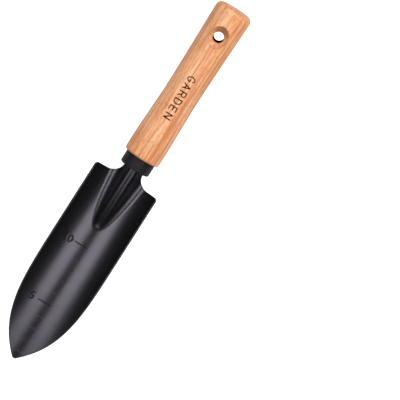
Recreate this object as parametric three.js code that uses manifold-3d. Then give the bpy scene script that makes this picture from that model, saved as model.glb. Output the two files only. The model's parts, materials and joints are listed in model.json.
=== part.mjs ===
// Hand transplanter: a narrow, dished steel blade with a depth scale, a round-bar tang welded under
// its neck, a moulded ferrule and a turned beech handle with a hanging hole. Millimetres, +Z up.
// The tool lies on its back: the scoop opens upwards, +X points at the tip, and the XZ plane is its
// plane of symmetry. The origin is at the middle of the footprint, on the surface it lies on.
import * as THREE from "three";
import { mergeVertices } from "three/addons/utils/BufferGeometryUtils.js";
import Module from "manifold-3d";

const wasm = await Module();
wasm.setup();

// ---- Driving dimensions ----

// Blade, pressed from sheet. Its own frame: x from the heel to the tip, z up from the scoop's floor.
const SHEET = 1.5;
const BLADE_LENGTH = 155;
const BLADE_HALF_WIDTH = 26.6;
const POINT_LENGTH = 120; // from where the sides close towards the tip, to the tip
const POINT_POWER = 5.1;
const TIP_HALF_WIDTH = 0.7;
const DISH_RADIUS = 35; // along the centre line
const HEEL_DISH_RADIUS = 30; // the dish is a little deeper at the heel
const DISH_EASE = 90; // from the heel to where the dish has its full radius
const TIP_FLARE = 22; // at the tip, the dish runs out straight about this far from the centre line
const FLARE_POWER = 3; // how late towards the tip the flare comes in
const HEEL_CORNER_RADIUS = 2.6;
const HEEL_SLANT = 0.04; // the heel edge falls back by this share of its width

// Rib, which stiffens the blade and turns into the neck
const RIB_LENGTH = 42.6; // from the heel to the rib's nose
const RIB_HEIGHT = 9.9; // crest over the scoop's floor, at the heel
const RIB_CREST_RADIUS = 5.7;
const RIB_FLANK = THREE.MathUtils.degToRad(43);
const RIB_RISE_POWER = 0.61;
const RIB_NOSE = 1.2; // how softly the crest sinks into the floor
const RIB_VALLEY = 18; // how softly the rib's flanks run out into the dish
const LEAST_BLEND = 0.001; // width of that run-out beyond the rib's nose

// Neck
const NECK_LENGTH = 9.5; // from the heel to the ferrule
const NECK_HALF_WIDTH = 8.15;
const NECK_FILLET_RADIUS = 9.3;
const NECK_END_TO_TENON = 0.4; // the neck stops this short of the handle's tenon

// Depth scale, pressed into the scoop's face
const MARK_DEPTH = 0.3;
const MARK_WIDTH = 0.7;
const MARK_PITCH = 10;
const MARK_COUNT = 10;
const FIRST_MARK_FROM_TIP = 6.4;
const SHORT_MARK = [-2.6, 2.6]; // from y to y
const LONG_MARK = [-7.7, 2.6];
const NUMBER_CENTRE = -13; // y of the middle of each number
const DIGIT_HEIGHT = 5.8;
const DIGIT_WIDTH = 3.4;
const DIGIT_GAP = 1.6;

// Tang, a round bar
const TANG_RADIUS = 3.5;
const TANG_UNDER_NECK = 20; // ahead of the ferrule
const TANG_IN_HANDLE = 61;
const TANG_POINT = 7;
const TANG_POINT_RADIUS = 0.8;
const TANG_BEVEL = 1; // round the end under the neck
const TANG_TO_NECK = 0.3; // gap under the crest, at the tang's front end
const KEY_GROOVES = 4;
const KEY_GROOVE_PITCH = 9;
const KEY_GROOVE_DEPTH = 0.6;
const KEY_GROOVE_WIDTH = 3;
const KEY_GROOVE_SLOPE = 0.8; // length of each sloping side
const FIRST_KEY_GROOVE = 11; // from the tang's end in the handle

// Weld beads, one on each side of the tang
const WELD_RADIUS = 0.95;
const WELD_LENGTH = 14;
const WELD_START = 2; // from the ferrule's front
const WELD_TURN = THREE.MathUtils.degToRad(9); // how far below the tang's middle the welds sit

// Ferrule, a moulded cup over the handle's tenon
const FERRULE_LENGTH = 9.8;
const FERRULE_RADIUS = 11.8;
const FERRULE_WALL = 1.6;
const FERRULE_FRONT = 1.8;
const FERRULE_EDGE_RADIUS = 1.3;
const WINDOW_CLEARANCE = 0.4; // from the neck to the edge of the window it passes through

// Handle, turned beech, measured from the ferrule's rear edge
const HANDLE_LENGTH = 129;
const HANDLE_FRONT_RADIUS = 14.2;
const HANDLE_WAIST_RADIUS = 13.3;
const HANDLE_BUTT_RADIUS = 14.6;
const HANDLE_FRONT_EDGE = 2;
const HANDLE_BUTT_EDGE = 4.5;
const BULGE_AT = 0.11; // shares of the handle's length
const WAIST_AT = 0.43;
const BUTT_AT = 0.94;
const BORE_WALL_GAP = 1.3; // from the tang to the wall of its bore, filled with adhesive
const BORE_BEYOND_TANG = 4;

// Hanging hole, drilled through the butt and countersunk from both sides
const HOLE_RADIUS = 4;
const HOLE_FROM_BUTT = 23.4;
const COUNTERSINK_RADIUS = 8.9;
const COUNTERSINK_HALF_ANGLE = THREE.MathUtils.degToRad(45);

const GAP = 0.3; // between pieces that touch
const ROUND_SEGMENTS = 36;

// ---- Materials ----

const powderCoat = new THREE.MeshStandardMaterial({ color: 0x2b2a30, roughness: 0.42, metalness: 0.0 });
const bareWeld = new THREE.MeshStandardMaterial({ color: 0x2b2a30, roughness: 0.55, metalness: 0.0 });
const ferrulePlastic = new THREE.MeshStandardMaterial({ color: 0x1d1e22, roughness: 0.7, metalness: 0.0 });
const beech = new THREE.MeshStandardMaterial({ color: 0xe3a069, roughness: 0.55, metalness: 0.0 });
const epoxy = new THREE.MeshStandardMaterial({ color: 0xc9b37c, roughness: 0.4, metalness: 0.0 });

// ---- Solids ----

// A closed geometry as a manifold-3d solid.
function solidOf(geometry) {
  const bare = geometry.clone();
  bare.deleteAttribute("normal");
  bare.deleteAttribute("uv");
  const merged = mergeVertices(bare, 1e-4);
  const mesh = new wasm.Mesh({
    numProp: 3,
    vertProperties: merged.attributes.position.array,
    triVerts: new Uint32Array(merged.index.array),
  });
  return new wasm.Manifold(mesh);
}

// A manifold-3d solid as a geometry.
function geometryOf(solid) {
  const mesh = solid.getMesh();
  const geometry = new THREE.BufferGeometry();
  geometry.setAttribute("position", new THREE.BufferAttribute(mesh.vertProperties, 3));
  geometry.setIndex(new THREE.BufferAttribute(mesh.triVerts, 1));
  geometry.computeVertexNormals();
  return geometry;
}

// A lathe about the X axis, from a profile of [distance along X, radius]. A facet faces down.
function latheAlongX(profile, segments = ROUND_SEGMENTS) {
  const points = profile.map(([along, radius]) => new THREE.Vector2(radius, along));
  return new THREE.LatheGeometry(points, segments, Math.PI / segments).rotateZ(-Math.PI / 2);
}

// Points on a quarter round of a profile, about a centre, from one angle to another.
function roundEdge(centreX, centreRadius, radius, from, to, steps) {
  return Array.from({ length: steps + 1 }, (_, i) => {
    const angle = from + ((to - from) * i) / steps;
    return [centreX + radius * Math.cos(angle), centreRadius + radius * Math.sin(angle)];
  });
}

// ---- Blade ----

// Height of the rib's crest over the scoop's floor. It rises as a power of the distance from the nose.
function crestHeight(x) {
  const behindNose = Math.max(RIB_LENGTH - x, 0);
  const softened = behindNose ** 2 / (behindNose + RIB_NOSE);
  return RIB_HEIGHT * Math.pow(softened / RIB_LENGTH, RIB_RISE_POWER);
}

// Fall of the rib's surface from its crest: a circle that runs out into a straight flank.
function ribFall(y) {
  const side = Math.abs(y);
  const roundEnd = RIB_CREST_RADIUS * Math.sin(RIB_FLANK);
  const onRound = Math.min(side, roundEnd);
  const fall = RIB_CREST_RADIUS - Math.sqrt(RIB_CREST_RADIUS ** 2 - onRound ** 2);
  return fall + Math.tan(RIB_FLANK) * (side - onRound);
}

// Height of the dish: a parabola at the heel, and towards the tip a hyperbola with straighter sides.
function dishHeight(x, y) {
  const share = THREE.MathUtils.clamp(x / BLADE_LENGTH, 0, 1) ** FLARE_POWER;
  const stretch = share * (y / TIP_FLARE) ** 2;
  const toFull = THREE.MathUtils.clamp(1 - x / DISH_EASE, 0, 1);
  const radius = DISH_RADIUS - (DISH_RADIUS - HEEL_DISH_RADIUS) * toFull ** 2;
  return y ** 2 / radius / (1 + Math.sqrt(1 + stretch));
}

// Height of the scoop's face: the higher of dish and rib, with a rounded valley between them.
function faceHeight(x, y) {
  const crest = crestHeight(x);
  const dish = dishHeight(x, y);
  const rib = crest - ribFall(y);
  const blend = Math.max((RIB_VALLEY * crest) / (RIB_VALLEY + crest), LEAST_BLEND);
  const overlap = Math.max(blend - Math.abs(dish - rib), 0) / blend;
  return Math.max(dish, rib) + (overlap * overlap * blend) / 4;
}

// Unit normal of the scoop's face, pointing up.
function faceNormal(x, y) {
  const step = 0.05;
  const slopeX = (faceHeight(x + step, y) - faceHeight(x - step, y)) / (2 * step);
  const slopeY = (faceHeight(x, y + step) - faceHeight(x, y - step)) / (2 * step);
  return new THREE.Vector3(-slopeX, -slopeY, 1).normalize();
}

// Half-width of the blade's sides, away from its heel corners.
function sideHalfWidth(x) {
  const intoPoint = Math.max(x - (BLADE_LENGTH - POINT_LENGTH), 0) / POINT_LENGTH;
  const body = BLADE_HALF_WIDTH - TIP_HALF_WIDTH;
  return TIP_HALF_WIDTH + body * (1 - intoPoint ** POINT_POWER);
}

// Half of the blade's outline as stations of [x, half-width], from the neck's end to the tip.
function bladeStations() {
  const fillet = Math.min(NECK_FILLET_RADIUS, NECK_LENGTH - 0.1);
  const filletCentre = new THREE.Vector2(-fillet, NECK_HALF_WIDTH + fillet);
  const cornerX = HEEL_CORNER_RADIUS + HEEL_SLANT * (BLADE_HALF_WIDTH - filletCentre.y);
  const corner = new THREE.Vector2(cornerX, sideHalfWidth(cornerX) - HEEL_CORNER_RADIUS);
  const heel = new THREE.Path();
  heel.moveTo(-NECK_LENGTH - neckInFerrule, NECK_HALF_WIDTH);
  heel.lineTo(filletCentre.x, NECK_HALF_WIDTH);
  heel.absarc(filletCentre.x, filletCentre.y, fillet, -Math.PI / 2, -0.04, false);
  heel.absarc(corner.x, corner.y, HEEL_CORNER_RADIUS, Math.PI - 0.04, Math.PI / 2, true);
  const stations = heel.getPoints(5).map((p) => [p.x, p.y]);
  const steps = 28;
  for (let i = 1; i <= steps; i++) {
    const share = i / steps;
    const x = cornerX + (BLADE_LENGTH - cornerX) * (1 - (1 - share) ** 1.25);
    stations.push([x, sideHalfWidth(x)]);
  }
  return stations.filter(([x], i) => i === 0 || x - stations[i - 1][0] > 1e-3);
}

// Half-width of the scoop's face: a dished sheet's back reaches further out, and sets the outline.
function faceHalfWidth(x, halfWidth) {
  return halfWidth + SHEET * Math.min(faceNormal(x, halfWidth).y, 0);
}

// A closed sheet that follows the scoop's face, between two distances from it along its normal.
function sheetAlongFace(upper, lower, columns) {
  const stations = bladeStations().map(([x, halfWidth]) => [x, faceHalfWidth(x, halfWidth)]);
  const positions = [];
  for (const offset of [upper, lower]) {
    for (const [x, halfWidth] of stations) {
      for (let j = 0; j <= columns; j++) {
        const y = halfWidth * ((2 * j) / columns - 1);
        const p = faceNormal(x, y).multiplyScalar(offset);
        positions.push(x + p.x, y + p.y, faceHeight(x, y) + p.z);
      }
    }
  }
  const rowLength = columns + 1;
  const side = stations.length * rowLength;
  const index = [];
  const quad = (a, b, c, d) => index.push(a, b, c, a, c, d);
  for (let i = 0; i + 1 < stations.length; i++) {
    for (let j = 0; j < columns; j++) {
      const a = i * rowLength + j;
      quad(a, a + rowLength, a + rowLength + 1, a + 1);
      quad(side + a, side + a + 1, side + a + rowLength + 1, side + a + rowLength);
    }
    const left = i * rowLength;
    const right = left + columns;
    quad(left, side + left, side + left + rowLength, left + rowLength);
    quad(right, right + rowLength, side + right + rowLength, side + right);
  }
  const last = (stations.length - 1) * rowLength;
  for (let j = 0; j < columns; j++) {
    quad(j, j + 1, side + j + 1, side + j);
    quad(last + j, side + last + j, side + last + j + 1, last + j + 1);
  }
  const geometry = new THREE.BufferGeometry();
  geometry.setAttribute("position", new THREE.Float32BufferAttribute(positions, 3));
  geometry.setIndex(index);
  return geometry;
}

// An upright bar over the face, from corner to corner, that cuts one stroke of the scale.
function stroke(x0, x1, y0, y1) {
  const bar = new THREE.BoxGeometry(Math.abs(x1 - x0), Math.abs(y1 - y0), 60);
  return solidOf(bar.translate((x0 + x1) / 2, (y0 + y1) / 2, 0));
}

// Strokes of a plain block digit. Its head points to the handle, and it reads towards +Y.
function digitStrokes(digit, centreX, leftY) {
  const half = (DIGIT_HEIGHT - MARK_WIDTH) / 2;
  const bar = MARK_WIDTH;
  const top = centreX - half;
  const foot = centreX + half;
  const left = leftY + bar / 2;
  const right = leftY + DIGIT_WIDTH - bar / 2;
  const across = (x) => stroke(x - bar / 2, x + bar / 2, left, right);
  const along = (y, from, to) => stroke(from - bar / 2, to + bar / 2, y - bar / 2, y + bar / 2);
  if (digit === 1) return [along(left, top, foot)];
  const ends = [across(top), across(foot)];
  if (digit === 0) return [...ends, along(left, top, foot), along(right, top, foot)];
  return [...ends, across(centreX), along(left, top, centreX), along(right, centreX, foot)];
}

// The whole scale: a mark every centimetre from the tip, with a number beside every fifth.
function scaleStrokes() {
  const cuts = [];
  for (let n = 1; n <= MARK_COUNT; n++) {
    const x = BLADE_LENGTH - FIRST_MARK_FROM_TIP - MARK_PITCH * (n - 1);
    const [from, to] = n % 5 ? SHORT_MARK : LONG_MARK;
    cuts.push(stroke(x - MARK_WIDTH / 2, x + MARK_WIDTH / 2, from, to));
    if (n === 5) cuts.push(...digitStrokes(5, x, NUMBER_CENTRE - DIGIT_WIDTH / 2));
    if (n === 10) {
      const start = NUMBER_CENTRE - (MARK_WIDTH + DIGIT_GAP + DIGIT_WIDTH) / 2;
      cuts.push(...digitStrokes(1, x, start));
      cuts.push(...digitStrokes(0, x, start + MARK_WIDTH + DIGIT_GAP));
    }
  }
  return cuts.reduce((all, cut) => all.add(cut));
}

function makeBlade() {
  const columns = 24;
  const sheet = solidOf(sheetAlongFace(0, -SHEET, columns));
  const skin = solidOf(sheetAlongFace(1, -MARK_DEPTH, columns));
  return geometryOf(sheet.subtract(skin.intersect(scaleStrokes())));
}

// ---- The handle's line: from a point at the ferrule's front, rising backwards along the crest ----

const CREST_STEP = 0.1;
const crestAtFerrule = crestHeight(-NECK_LENGTH);
const crestSlope = (crestHeight(-NECK_LENGTH - CREST_STEP) - crestAtFerrule) / CREST_STEP;
const HANDLE_RISE = Math.atan(crestSlope);
const crestSag = crestAtFerrule - crestSlope * TANG_UNDER_NECK - crestHeight(TANG_UNDER_NECK - NECK_LENGTH);
const AXIS_DROP = SHEET + TANG_TO_NECK + crestSag + TANG_RADIUS; // the axis under the crest
const axisAtFerrule = new THREE.Vector3(-NECK_LENGTH, 0, crestAtFerrule - AXIS_DROP / Math.cos(HANDLE_RISE));

// The neck reaches into the ferrule's front, and its crest stops short of the tenon behind.
const neckInFerrule = FERRULE_FRONT + GAP - NECK_END_TO_TENON - AXIS_DROP * Math.tan(HANDLE_RISE);

// ---- Tang, welds, ferrule, adhesive and handle: along X, with x = 0 at the ferrule's front ----

const woodStart = -FERRULE_LENGTH; // the handle's body begins here and runs to -X
const tangEnd = woodStart - TANG_IN_HANDLE;
const boreEnd = tangEnd - BORE_BEYOND_TANG;
const boreRadius = TANG_RADIUS + BORE_WALL_GAP;
const tenonRadius = FERRULE_RADIUS - FERRULE_WALL - GAP;
const tenonFace = -FERRULE_FRONT - GAP;

function makeTang() {
  const profile = [[tangEnd, 0], [tangEnd, TANG_POINT_RADIUS], [tangEnd + TANG_POINT, TANG_RADIUS]];
  for (let i = 0; i < KEY_GROOVES; i++) {
    const x = tangEnd + FIRST_KEY_GROOVE + i * KEY_GROOVE_PITCH;
    const root = TANG_RADIUS - KEY_GROOVE_DEPTH;
    profile.push([x, TANG_RADIUS], [x + KEY_GROOVE_SLOPE, root]);
    profile.push([x + KEY_GROOVE_WIDTH - KEY_GROOVE_SLOPE, root], [x + KEY_GROOVE_WIDTH, TANG_RADIUS]);
  }
  profile.push([TANG_UNDER_NECK - TANG_BEVEL, TANG_RADIUS], [TANG_UNDER_NECK, TANG_RADIUS - TANG_BEVEL]);
  profile.push([TANG_UNDER_NECK, 0]);
  return latheAlongX(profile, 24);
}

function makeWeld(side) {
  const bead = new THREE.CapsuleGeometry(WELD_RADIUS, WELD_LENGTH - 2 * WELD_RADIUS, 4, 10);
  bead.rotateZ(Math.PI / 2);
  const out = TANG_RADIUS + GAP + WELD_RADIUS;
  const across = side * out * Math.cos(WELD_TURN);
  return bead.translate(WELD_START + WELD_LENGTH / 2, across, -out * Math.sin(WELD_TURN));
}

function makeFerrule() {
  const edge = roundEdge(-FERRULE_EDGE_RADIUS, FERRULE_RADIUS - FERRULE_EDGE_RADIUS,
    FERRULE_EDGE_RADIUS, 0, Math.PI / 2, 5);
  const inner = FERRULE_RADIUS - FERRULE_WALL;
  const profile = [[-FERRULE_FRONT, 0], [-FERRULE_FRONT, inner], [woodStart + GAP, inner],
    [woodStart + GAP, FERRULE_RADIUS], ...edge.reverse(), [0, 0]];
  const cup = solidOf(latheAlongX(profile));
  return geometryOf(cup.subtract(solidOf(neckWindow())));
}

// The window in the ferrule's front: the neck's own arch with a clearance, closed below the tang.
function neckWindow() {
  const halfWidth = NECK_HALF_WIDTH + WINDOW_CLEARANCE;
  const crest = AXIS_DROP + 2 * WINDOW_CLEARANCE;
  const steps = 20;
  const window = new THREE.Shape();
  window.moveTo(-halfWidth, -TANG_RADIUS - WINDOW_CLEARANCE);
  window.lineTo(halfWidth, -TANG_RADIUS - WINDOW_CLEARANCE);
  for (let i = steps; i >= 0; i--) {
    const y = halfWidth * ((2 * i) / steps - 1);
    window.lineTo(y, crest - ribFall(y));
  }
  const depth = 2 * FERRULE_LENGTH;
  const prism = new THREE.ExtrudeGeometry(window, { depth, bevelEnabled: false });
  return prism.translate(0, 0, -FERRULE_FRONT - GAP).rotateX(Math.PI / 2).rotateZ(Math.PI / 2);
}

function makeAdhesive() {
  const outer = boreRadius - GAP;
  const inner = TANG_RADIUS + GAP;
  const mouth = tenonFace - 1;
  return latheAlongX([[boreEnd + GAP, 0], [boreEnd + GAP, outer], [mouth, outer], [mouth, inner],
    [tangEnd + TANG_POINT, inner], [tangEnd - 1, 1.3], [tangEnd - 1, 0]], 24);
}

function handleProfile() {
  const at = (share) => woodStart - share * HANDLE_LENGTH;
  const butt = at(1);
  const front = roundEdge(woodStart - HANDLE_FRONT_EDGE, HANDLE_FRONT_RADIUS - HANDLE_FRONT_EDGE,
    HANDLE_FRONT_EDGE, 0, Math.PI / 2, 4);
  const back = roundEdge(butt + HANDLE_BUTT_EDGE, HANDLE_BUTT_RADIUS - HANDLE_BUTT_EDGE,
    HANDLE_BUTT_EDGE, Math.PI / 2, Math.PI, 6);
  const grip = new THREE.SplineCurve([
    new THREE.Vector2(...front[front.length - 1]),
    new THREE.Vector2(at(BULGE_AT), HANDLE_FRONT_RADIUS + 0.05),
    new THREE.Vector2(at((BULGE_AT + WAIST_AT) / 2), (HANDLE_FRONT_RADIUS + HANDLE_WAIST_RADIUS) / 2),
    new THREE.Vector2(at(WAIST_AT), HANDLE_WAIST_RADIUS),
    new THREE.Vector2(at((WAIST_AT + BUTT_AT) / 2), 0.6 * HANDLE_WAIST_RADIUS + 0.4 * HANDLE_BUTT_RADIUS),
    new THREE.Vector2(at(BUTT_AT), HANDLE_BUTT_RADIUS),
    new THREE.Vector2(...back[0]),
  ]).getPoints(18).map((p) => [p.x, p.y]);
  return [[boreEnd, 0], [boreEnd, boreRadius], [tenonFace, boreRadius], [tenonFace, tenonRadius],
    [woodStart, tenonRadius], ...front, ...grip.slice(1, -1), ...back, [butt, 0]];
}

// The hanging hole's cutter, along Z: a drill with a wide cone at each end.
function hangingHole() {
  const reach = 20;
  const x = woodStart - HANDLE_LENGTH + HOLE_FROM_BUTT;
  const drill = new THREE.CylinderGeometry(HOLE_RADIUS, HOLE_RADIUS, 2 * reach, 32);
  const slope = Math.tan(COUNTERSINK_HALF_ANGLE);
  const coneTip = HANDLE_BUTT_RADIUS - COUNTERSINK_RADIUS / slope;
  const cone = new THREE.CylinderGeometry((reach - coneTip) * slope, 0, reach - coneTip, 48);
  const upper = solidOf(cone.clone().translate(0, (reach + coneTip) / 2, 0).rotateX(Math.PI / 2));
  const lower = solidOf(cone.clone().translate(0, (reach + coneTip) / 2, 0).rotateX(-Math.PI / 2));
  return solidOf(drill.rotateX(Math.PI / 2)).add(upper).add(lower).translate([x, 0, 0]);
}

function makeHandle() {
  return geometryOf(solidOf(latheAlongX(handleProfile().reverse())).subtract(hangingHole()));
}

// ---- Assembly ----

function piece(name, geometry, material) {
  const mesh = new THREE.Mesh(geometry, material);
  mesh.name = name;
  return mesh;
}

const handleLine = new THREE.Group();
handleLine.add(
  piece("tang", makeTang(), powderCoat),
  piece("weld_left", makeWeld(-1), bareWeld),
  piece("weld_right", makeWeld(1), bareWeld),
  piece("ferrule", makeFerrule(), ferrulePlastic),
  piece("tang_adhesive", makeAdhesive(), epoxy),
  piece("handle", makeHandle(), beech),
);
handleLine.position.copy(axisAtFerrule);
handleLine.rotation.y = HANDLE_RISE;

// Laid down, the tool touches under the rounded front edge of the handle and under the blade's tip.
const edgeHeight = HANDLE_FRONT_EDGE - HANDLE_FRONT_RADIUS;
const edgeCentre = new THREE.Vector3(woodStart - HANDLE_FRONT_EDGE, 0, edgeHeight);
edgeCentre.applyAxisAngle(new THREE.Vector3(0, 1, 0), HANDLE_RISE).add(axisAtFerrule);
const toTip = new THREE.Vector3(BLADE_LENGTH, 0, -SHEET).sub(edgeCentre);
const restTilt = Math.asin(HANDLE_FRONT_EDGE / toTip.length()) + Math.atan2(toTip.z, toTip.x);

const laid = new THREE.Group();
laid.add(piece("blade", makeBlade(), powderCoat), handleLine);
laid.rotation.y = restTilt;

const transplanter = new THREE.Group();
transplanter.add(laid);
const extent = new THREE.Box3().setFromObject(transplanter, true);
laid.position.set(-(extent.min.x + extent.max.x) / 2, 0, -extent.min.z);

export default transplanter;
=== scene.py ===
# %% [markdown]
# # A hand transplanter
#
# A narrow planting tool: a dished steel blade with a depth scale, a tang welded under its neck, a
# moulded ferrule and a turned beech handle. The engineering model is loaded first and stays as it
# is. Finer surfaces are then worked out with numpy from the same sizes, and stand for its pieces.

# %% Load the engineering model
import math
import json

import bmesh
import bpy
import numpy as np
from mathutils import Matrix


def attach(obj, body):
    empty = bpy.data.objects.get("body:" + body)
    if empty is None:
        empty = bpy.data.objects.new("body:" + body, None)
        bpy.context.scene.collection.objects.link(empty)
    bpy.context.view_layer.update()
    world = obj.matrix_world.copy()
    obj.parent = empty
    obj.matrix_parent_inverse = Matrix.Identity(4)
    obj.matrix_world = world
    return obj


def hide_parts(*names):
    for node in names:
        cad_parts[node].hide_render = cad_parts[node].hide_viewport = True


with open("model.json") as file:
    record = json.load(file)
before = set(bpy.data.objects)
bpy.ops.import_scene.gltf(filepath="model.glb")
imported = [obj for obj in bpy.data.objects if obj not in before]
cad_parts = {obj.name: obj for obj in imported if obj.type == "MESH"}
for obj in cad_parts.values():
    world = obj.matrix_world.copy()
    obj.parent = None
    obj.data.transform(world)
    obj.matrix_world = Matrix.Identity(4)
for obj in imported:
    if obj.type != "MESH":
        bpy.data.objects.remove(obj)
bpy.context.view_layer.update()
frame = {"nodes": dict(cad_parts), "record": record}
print("pieces of the engineering model:", sorted(frame["nodes"]))

# %% [markdown]
# ## Sizes
#
# These are the sizes that a toolmaker would put on the drawing. The blade has a frame of its own:
# x runs from the heel to the tip, y across, and z up from the floor of the scoop. The handle, the
# ferrule and the tang share a second one, with x = 0 at the front of the ferrule.

# %% The drawing's sizes
MM = 0.001

SHEET = 1.5 * MM
BLADE_LENGTH = 155 * MM
BLADE_HALF_WIDTH = 26.6 * MM
POINT_LENGTH = 120 * MM
POINT_POWER = 5.1
TIP_HALF_WIDTH = 0.7 * MM
DISH_RADIUS = 35 * MM
HEEL_DISH_RADIUS = 30 * MM
DISH_EASE = 90 * MM
TIP_FLARE = 22 * MM
FLARE_POWER = 3
HEEL_CORNER_RADIUS = 2.6 * MM
HEEL_SLANT = 0.04
SLANT_FADE = 30 * MM  # how far from the heel the slant dies out
EDGE_ROUNDING = 0.45 * MM  # how far the coated edge of the sheet bulges out
SIDE_INSET = 0.2 * MM  # how far that brings out the leaning sides

RIB_LENGTH = 42.6 * MM
RIB_HEIGHT = 9.9 * MM
RIB_CREST_RADIUS = 5.7 * MM
RIB_FLANK = math.radians(43)
RIB_RISE_POWER = 0.61
RIB_NOSE = 1.2 * MM
RIB_VALLEY = 18 * MM
LEAST_BLEND = 0.001 * MM

NECK_LENGTH = 9.5 * MM
NECK_HALF_WIDTH = 8.15 * MM
NECK_FILLET_RADIUS = 9.3 * MM
NECK_IN_FERRULE = 1.0 * MM

TANG_RADIUS = 3.5 * MM
TANG_UNDER_NECK = 20 * MM
TANG_TO_NECK = 0.3 * MM
WELD_TURN = math.radians(9)  # how far below the tang's middle the welds sit

FERRULE_LENGTH = 9.8 * MM
FERRULE_RADIUS = 11.8 * MM
FERRULE_WALL = 1.6 * MM
FERRULE_FRONT = 1.8 * MM
FERRULE_EDGE_RADIUS = 1.3 * MM
WINDOW_CLEARANCE = 0.4 * MM

HANDLE_LENGTH = 129 * MM
HANDLE_FRONT_RADIUS = 14.2 * MM
HANDLE_WAIST_RADIUS = 13.3 * MM
HANDLE_BUTT_RADIUS = 14.54 * MM
HANDLE_FRONT_EDGE = 2 * MM
HANDLE_BUTT_EDGE = 4.7 * MM
BORE_RADIUS = 4.8 * MM
BORE_END = -74.8 * MM
HOLE_RADIUS = 4.0 * MM
HOLE_FROM_BUTT = 23.4 * MM
COUNTERSINK_RADIUS = 8.9 * MM
COUNTERSINK_HALF_ANGLE = math.radians(45)

GAP = 0.3 * MM

# %% [markdown]
# ## Tools for meshes
#
# Every piece is a grid of points: an array of rows and columns, each point worked out from its row
# and column. Neighbouring points make the four-sided faces. Grids that share an edge are joined by
# merging the points that coincide, which also closes seams and turns poles into neat fans.

# %% Grids and pieces


def grid_faces(rows, columns, start=0, close_rows=False, close_columns=False):
    """Four-sided faces between the neighbours of a grid whose points are numbered row by row."""
    i = np.arange(rows if close_rows else rows - 1)[:, None]
    j = np.arange(columns if close_columns else columns - 1)[None, :]
    below = (i + 1) % rows
    right = (j + 1) % columns
    corners = (i * columns + j, below * columns + j, below * columns + right, i * columns + right)
    return start + np.stack([c + 0 * (i + j) for c in corners], axis=-1).reshape(-1, 4)


def make_piece(name, grids, place, node, attributes=None):
    """A mesh object from grids of (points, faces), merged where they meet, with its faces outwards."""
    counts = np.cumsum([0] + [points.reshape(-1, 3).shape[0] for points, _ in grids])
    points = np.concatenate([points.reshape(-1, 3) for points, _ in grids])
    faces = np.concatenate([faces + start for (_, faces), start in zip(grids, counts)])
    points = points @ place[0].T + place[1]
    mesh = bpy.data.meshes.new(name)
    mesh.from_pydata(points, [], faces)
    for key, values in (attributes or {}).items():
        layer = mesh.attributes.new(key, "FLOAT", "POINT")
        layer.data.foreach_set("value", values.astype(np.float32))
    shape = bmesh.new()
    shape.from_mesh(mesh)
    bmesh.ops.remove_doubles(shape, verts=shape.verts, dist=2e-6)
    bmesh.ops.dissolve_degenerate(shape, edges=shape.edges, dist=1e-7)
    bmesh.ops.recalc_face_normals(shape, faces=shape.faces)
    open_edges = sum(not edge.is_manifold for edge in shape.edges)
    shape.to_mesh(mesh)
    shape.free()
    mesh.polygons.foreach_set("use_smooth", np.ones(len(mesh.polygons), dtype=bool))
    piece = bpy.data.objects.new(name, mesh)
    bpy.context.collection.objects.link(piece)
    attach(piece, "root")
    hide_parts(node)
    low, high = points.min(axis=0) / MM, points.max(axis=0) / MM
    print(f"{name}: {len(mesh.polygons)} faces, {open_edges} open edges,",
          "box", low.round(2), high.round(2))
    return piece


def smoothstep(value):
    """0 below 0, 1 above 1, and a soft S between them."""
    t = np.clip(value, 0, 1)
    return t * t * (3 - 2 * t)


# %% [markdown]
# ## The face of the blade
#
# The blade is pressed from flat sheet between two dies. Its face can be written as a height z over
# x and y: a dish, which is a parabola across the heel and straightens towards the tip, and a rib
# that grows out of the floor towards the neck. Where the two meet, a soft valley joins them.

# %% Height of the face


def crest_height(x):
    """The rib's crest: a power of the distance behind its nose, which starts as a square."""
    behind = np.maximum(RIB_LENGTH - x, 0)
    softened = behind**2 / (behind + RIB_NOSE)
    return RIB_HEIGHT * (softened / RIB_LENGTH) ** RIB_RISE_POWER


def rib_fall(y):
    """The drop from the crest: a circle that runs out into a straight flank."""
    side = np.abs(y)
    round_end = RIB_CREST_RADIUS * math.sin(RIB_FLANK)
    on_round = np.minimum(side, round_end)
    fall = RIB_CREST_RADIUS - np.sqrt(RIB_CREST_RADIUS**2 - on_round**2)
    return fall + math.tan(RIB_FLANK) * (side - on_round)


def dish_height(x, y):
    """The dish: y squared over twice its radius, eased towards a straight slope near the tip.

    The radius itself eases from the heel's to the full one as a parabola along x."""
    share = np.clip(x / BLADE_LENGTH, 0, 1) ** FLARE_POWER
    to_full = np.clip(1 - x / DISH_EASE, 0, 1)
    radius = DISH_RADIUS - (DISH_RADIUS - HEEL_DISH_RADIUS) * to_full**2
    return y**2 / radius / (1 + np.sqrt(1 + share * (y / TIP_FLARE) ** 2))


def face_height(x, y):
    """The higher of dish and rib, plus a quadratic fill where they are nearly level."""
    crest = crest_height(x)
    dish = dish_height(x, y)
    rib = crest - rib_fall(y)
    blend = np.maximum(RIB_VALLEY * crest / (RIB_VALLEY + crest), LEAST_BLEND)
    overlap = np.maximum(blend - np.abs(dish - rib), 0) / blend
    return np.maximum(dish, rib) + overlap**2 * blend / 4


def face_normal(x, y):
    """The unit normal, from the slopes along x and y over a short step."""
    step = 0.02 * MM
    slope_x = (face_height(x + step, y) - face_height(x - step, y)) / (2 * step)
    slope_y = (face_height(x, y + step) - face_height(x, y - step)) / (2 * step)
    normal = np.stack([-slope_x, -slope_y, np.ones_like(slope_x)], axis=-1)
    return normal / np.linalg.norm(normal, axis=-1, keepdims=True)


print("crest at the heel:", crest_height(np.array(0.0)) / MM, "mm")

# %% [markdown]
# ## Where things stand
#
# The mount on the butt of the handle says where the handle's axis is and how it leans. The crest of
# the rib runs on in line with the handle, so the slope of the crest tells how much the blade leans.

# %% Two places: the blade's and the handle's


def turned(angle):
    """A turn about y that raises the -x end by an angle."""
    c, s = math.cos(angle), math.sin(angle)
    return np.array([[c, 0, s], [0, 1, 0], [-s, 0, c]])


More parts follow.
